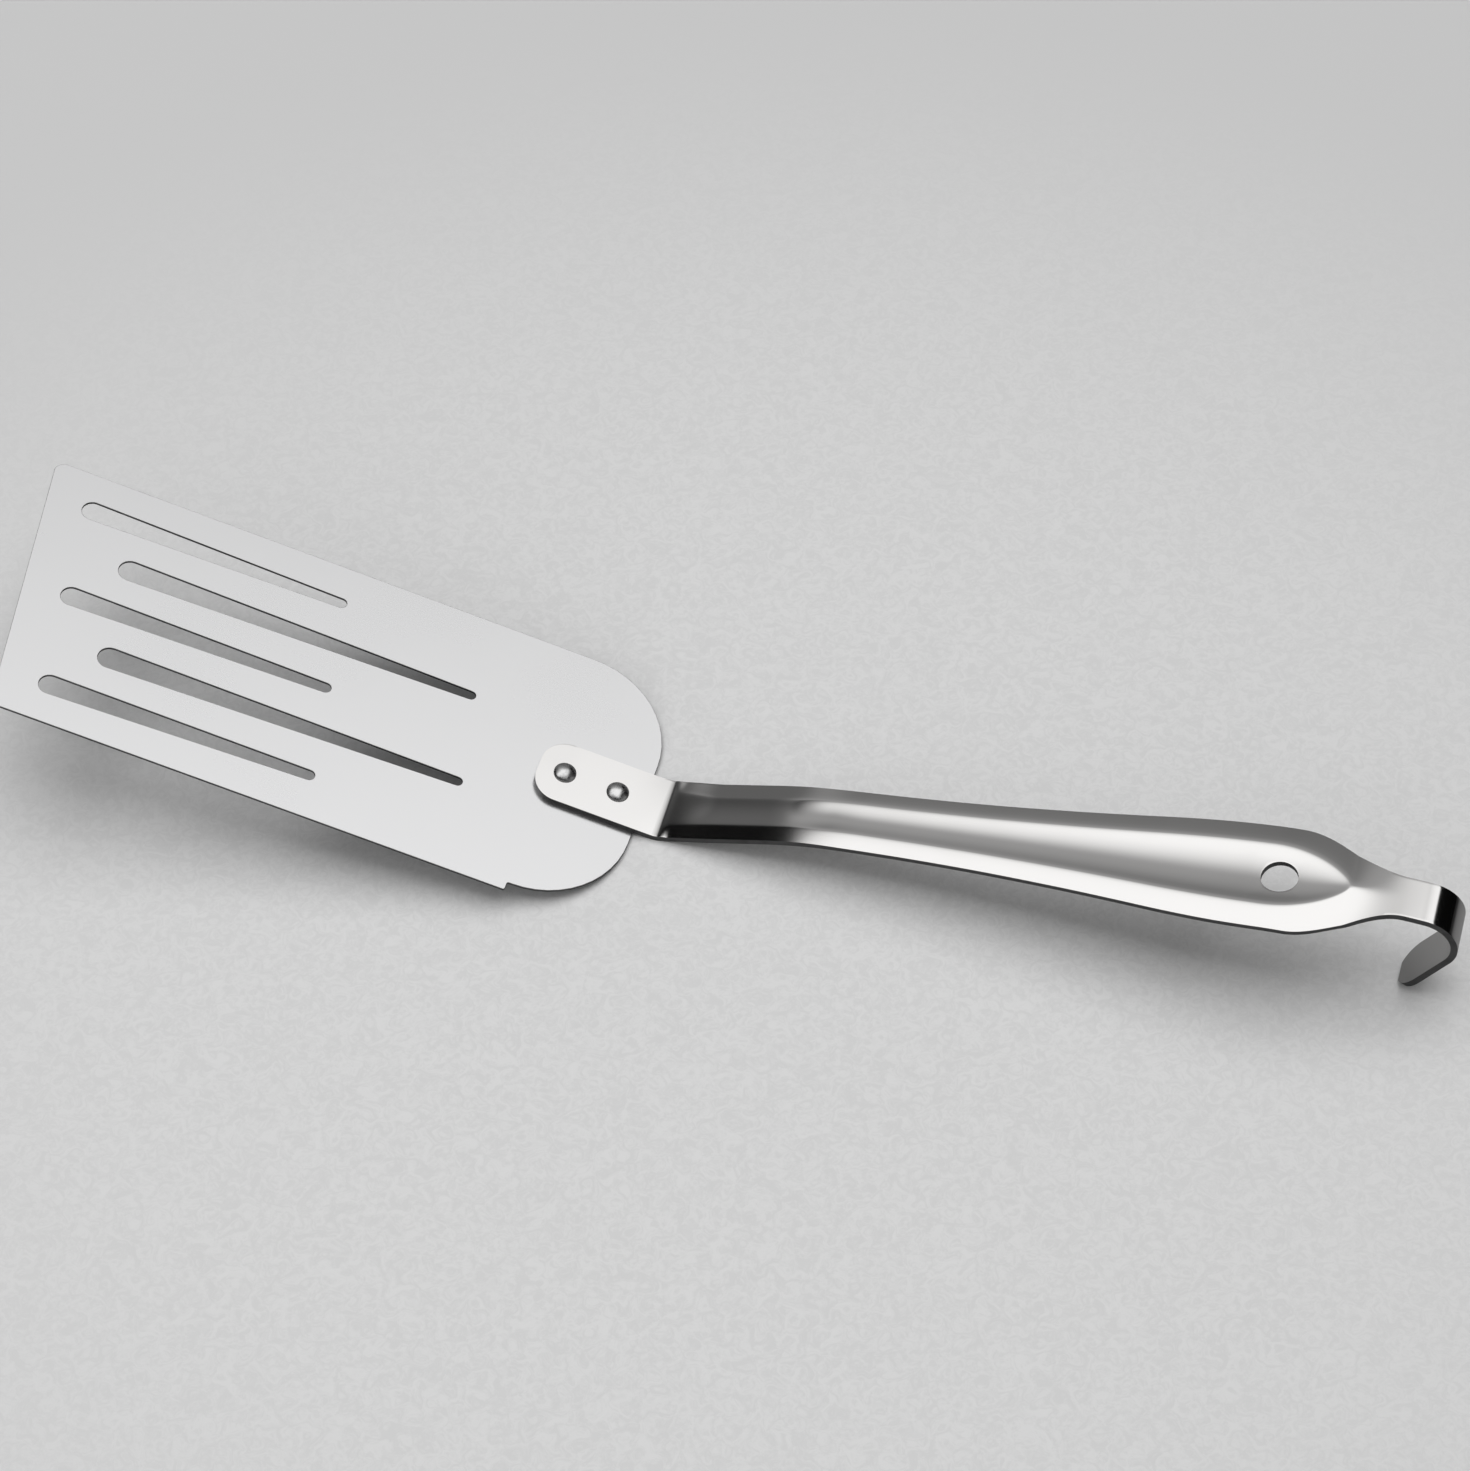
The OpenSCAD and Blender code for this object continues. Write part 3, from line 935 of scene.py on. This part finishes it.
@dataclass
class Studio:
    """The pale table, the light and the camera.

    The dome's light is written on a level plate one unit above the object, as seen from it, so
    that a soft box is a rectangle on that plate.
    """

    floor_size: float = 3.0
    floor_colour: Colour = (0.78, 0.78, 0.78)
    floor_roughness: float = 0.8
    # Painted light: the floor's colour dims away from this centre, a painted pool of the lamps'
    # light.
    floor_lit_centre: Range = (0.03, -0.03)
    floor_painted_falloff_area: float = 0.12
    floor_painted_falloff_share: float = 0.90
    # Painted shade in reflections: the steel sees the floor darkened to this share, and black
    # further towards +x.
    floor_painted_reflection_share: float = 0.40
    floor_painted_reflection_fade_x: Range = (0.40, 0.12)
    fibre_scale: float = 300.0
    fibre_detail: float = 5.0
    fibre_roughness: float = 0.7
    fibre_twist: float = 1.6
    fibre_range: Range = (0.38, 0.62)
    fibre_shares: Range = (0.955, 1.035)
    lowest_z: float = 0.02
    box_x: Range = (-0.62, 0.62)
    box_y: Range = (-0.35, 0.765)
    box_left_slant: float = 0.36
    box_right_slant: float = 0.70
    box_edge: float = 0.04
    box_left_edge: float = 0.07
    box_fade: float = 0.30
    box_light: float = 1.175
    wall_light: float = 0.36
    wall_far_light: float = 0.17
    wall_far_y: Range = (0.9, 1.9)
    wall_dip_share: float = 0.2
    wall_dip_x: Range = (-0.6, -0.3)
    wall_dip_y: Range = (1.2, 1.6)
    wall_side_light: float = 0.13
    wall_side_x: Range = (-0.70, -1.05)
    wall_side_y: Range = (0.68, 1.2)
    wall_gap_x: Range = (-0.60, -0.80)
    wall_gap_y: Range = (1.0, 0.78)
    wall_right_x: Range = (0.6, 0.4)
    wall_foot_z: Range = (0.0, 0.1)
    room_light: float = 0.20
    room_near_y: Range = (-0.9, -1.5)
    room_right_x: Range = (1.0, 1.6)
    room_right_slant: float = 0.45
    room_right_edge: Range = (0.0, -0.4)
    dark_light: float = 0.002
    seen_light: float = 0.5
    key_power: float = 9.1
    key_size: float = 1.7
    key_distance: float = 1.5
    key_elevation_deg: float = 79.0
    fill_power: float = 6.8
    fill_elevation_deg: float = 40.0
    fill_turn_deg: float = -30.0
    view_target: tuple[float, float, float] = (-0.002217, 0.027942, 0.0)
    view_distance: float = 0.942537
    view_elevation_deg: float = 51.011
    view_azimuth_deg: float = 17.637
    view_roll_deg: float = -1.832
    focal_px: float = 3800.0
    sensor_mm: float = 36.0
    clip_range: Range = (0.01, 20.0)

    def floor(self) -> bpy.types.Object:
        """Adds the table top. Its colour carries a painted falloff of light and, in reflections,
        painted shade.
        """
        deselect_all()
        bpy.ops.mesh.primitive_plane_add(size=self.floor_size, location=(0.0, 0.0, 0.0))
        piece = bpy.context.object
        piece.name = "table_top"
        made = bpy.data.materials.new("pale_table")
        made.use_nodes = True
        tree = Tree(made.node_tree)
        place = tree.add("ShaderNodeTexCoord", out="Object")
        mottle = {
            "Vector": place,
            "Scale": self.fibre_scale,
            "Detail": self.fibre_detail,
            "Roughness": self.fibre_roughness,
            "Distortion": self.fibre_twist,
        }
        fibre = tree.add("ShaderNodeTexNoise", {}, mottle).soft_step(*self.fibre_range)
        # Painted light: away from the lit centre the floor's colour falls to a darker share, a
        # painted falloff of the lamps' light.
        shares = (*self.fibre_shares, self.floor_painted_falloff_share)
        low, high, painted_falloff_colour = ((*(c * share for c in self.floor_colour), 1.0) for share in shares)
        x, y, _ = tree.split(place)
        from_x, from_y = x - self.floor_lit_centre[0], y - self.floor_lit_centre[1]
        away = (from_x * from_x + from_y * from_y).soft_step(0.0, self.floor_painted_falloff_area)
        colour = tree.blend(away, tree.blend(fibre, low, high), painted_falloff_colour)
        # Painted reflection: in glossy rays the floor is painted darker, at a share of its colour
        # near the object and black from 0.4 m towards +x. This stands in for the shaded table that
        # the steel reflects.
        mirrored = tree.add("ShaderNodeLightPath", out="Is Glossy Ray")
        painted_reflection = x.soft_step(*self.floor_painted_reflection_fade_x) * self.floor_painted_reflection_share
        colour = tree.blend(mirrored, colour, tree.blend(painted_reflection, BLACK, low))
        sockets = {"Base Color": colour, "Roughness": self.floor_roughness}
        shader = tree.add("ShaderNodeBsdfPrincipled", {}, sockets)
        tree.add("ShaderNodeOutputMaterial", {}, {"Surface": shader})
        piece.data.materials.append(made)
        return piece

    def dome(self) -> None:
        """Builds the world: soft box, wall behind it, room in front, and dark gaps."""
        world = bpy.data.worlds.new("studio")
        bpy.context.scene.world = world
        world.use_nodes = True
        tree = Tree(world.node_tree)
        x, y, z = tree.split(tree.add("ShaderNodeTexCoord", out="Generated"))
        high = z.at_least(self.lowest_z)
        px, py = x / high, y / high
        back = self.box_back(px, py)
        box = self.soft_box(px, py, back)
        beyond = back.soft_step(self.box_y[1] - self.box_fade, self.box_y[1]) * (1 - box)
        wall = beyond * self.wall(px, py) * z.soft_step(*self.wall_foot_z)
        light = self.dark_light + box * self.box_light + wall + self.room(px, py)
        seen = tree.add("ShaderNodeLightPath", out="Is Camera Ray")
        light = light * (1 - seen) + seen * self.seen_light
        shader = tree.add("ShaderNodeBackground", {}, {"Color": WHITE, "Strength": light})
        tree.add("ShaderNodeOutputWorld", {}, {"Surface": shader})

    def box_back(self, px: Wire, py: Wire) -> Wire:
        """Distance towards the soft box's slanted rear edge.

        Args:
            px: Place on the plate, from left to right.
            py: Place on the plate, from near to far.

        Returns:
            The distance, which is the box's own rear size at its edge.
        """
        kink = self.box_right_slant - self.box_left_slant
        return py - px * self.box_left_slant - px.at_least(0.0) * kink

    def soft_box(self, px: Wire, py: Wire, back: Wire) -> Wire:
        """Share of the soft box's light, with its soft edges.

        Args:
            px: Place on the plate, from left to right.
            py: Place on the plate, from near to far.
            back: Distance towards the slanted rear edge.

        Returns:
            The share, from 0 to 1.
        """
        (left, right), (near, far) = self.box_x, self.box_y
        edge, fade = self.box_edge, self.box_fade
        across = px.soft_step(left - self.box_left_edge, left + self.box_left_edge)
        across = across * px.soft_step(right + edge, right - edge)
        deep = py.soft_step(near - edge, near + edge)
        return across * deep * back.soft_step(far + fade, far - fade)

    def wall(self, px: Wire, py: Wire) -> Wire:
        """Light of the wall: dimmer far up, dimmer still on the left, with a dark gap.

        Args:
            px: Place on the plate, from left to right.
            py: Place on the plate, from near to far.

        Returns:
            The wall's light.
        """
        fall = self.wall_light - self.wall_far_light
        main = self.wall_light - fall * py.soft_step(*self.wall_far_y)
        dip = px.soft_step(*self.wall_dip_x) * py.soft_step(*self.wall_dip_y)
        main = main * (1 - dip * self.wall_dip_share)
        side = self.wall_side_light * py.soft_step(*self.wall_side_y)
        level = main + (side - main) * px.soft_step(*self.wall_side_x)
        gap = px.soft_step(*self.wall_gap_x) * py.soft_step(*self.wall_gap_y)
        return level * (1 - gap) * px.soft_step(*self.wall_right_x)

    def room(self, px: Wire, py: Wire) -> Wire:
        """Dim light of the room on the near and the right side.

        Args:
            px: Place on the plate, from left to right.
            py: Place on the plate, from near to far.

        Returns:
            The room's light.
        """
        near = py.soft_step(*self.room_near_y)
        below = (py - px * self.room_right_slant).soft_step(*self.room_right_edge)
        right = px.soft_step(*self.room_right_x) * below
        return near.at_least(right) * self.room_light

    def lamp(self, name: str, power: float, elevation_deg: float, turn_deg: float) -> None:
        """Adds a wide lamp that lights the table only. The steel reflects the dome instead.

        Args:
            name: The lamp's name.
            power: Its power in watts.
            elevation_deg: Its height above the far side of the table, past 90 for the near side.
            turn_deg: How far it is then turned round the object, anticlockwise from above.
        """
        data = bpy.data.lights.new(name, "AREA")
        data.shape = "SQUARE"
        data.size = self.key_size
        data.energy = power
        lamp = bpy.data.objects.new(name, data)
        bpy.context.scene.collection.objects.link(lamp)
        a = math.radians(elevation_deg)
        spot = Vector((0.0, math.cos(a), math.sin(a))) * self.key_distance
        spot.rotate(Quaternion((0.0, 0.0, 1.0), math.radians(turn_deg)))
        lamp.location = spot
        lamp.rotation_mode = "QUATERNION"
        lamp.rotation_quaternion = spot.to_track_quat("Z", "Y")
        lamp.visible_glossy = False

    def camera(self) -> None:
        """Places the camera at the photograph's viewing angle."""
        data = bpy.data.cameras.new("view")
        data.sensor_fit = "HORIZONTAL"
        data.sensor_width = self.sensor_mm
        data.lens = self.focal_px / PHOTO_WIDTH_PX * self.sensor_mm
        data.clip_start, data.clip_end = self.clip_range
        eye = bpy.data.objects.new("view", data)
        bpy.context.scene.collection.objects.link(eye)
        e = math.radians(self.view_elevation_deg)
        a = math.radians(self.view_azimuth_deg)
        back = Vector((math.sin(a) * math.cos(e), -math.cos(a) * math.cos(e), math.sin(e)))
        eye.location = Vector(self.view_target) + back * self.view_distance
        eye.rotation_mode = "QUATERNION"
        roll = Quaternion((0.0, 0.0, 1.0), math.radians(self.view_roll_deg))
        eye.rotation_quaternion = back.to_track_quat("Z", "Y") @ roll
        bpy.context.scene.camera = eye

    def build(self) -> None:
        """Sets up the whole studio."""
        bpy.context.scene.view_settings.view_transform = "Standard"
        self.floor()
        self.dome()
        self.lamp("key", self.key_power, self.key_elevation_deg, 0.0)
        self.lamp("fill", self.fill_power, 180 - self.fill_elevation_deg, self.fill_turn_deg)
        self.camera()


def main() -> None:
    """Builds the turner's pieces in order, then the studio."""
    logging.basicConfig(level=logging.INFO, format="%(message)s")
    for sub_assembly in (Blade(), Handle(), Rivets()):
        made = sub_assembly.build()
        for piece in made if isinstance(made, list) else [made]:
            LOG.info("%s: %d faces", piece.name, len(piece.data.polygons))
    Studio().build()
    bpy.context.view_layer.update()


if __name__ == "__main__":
    main()
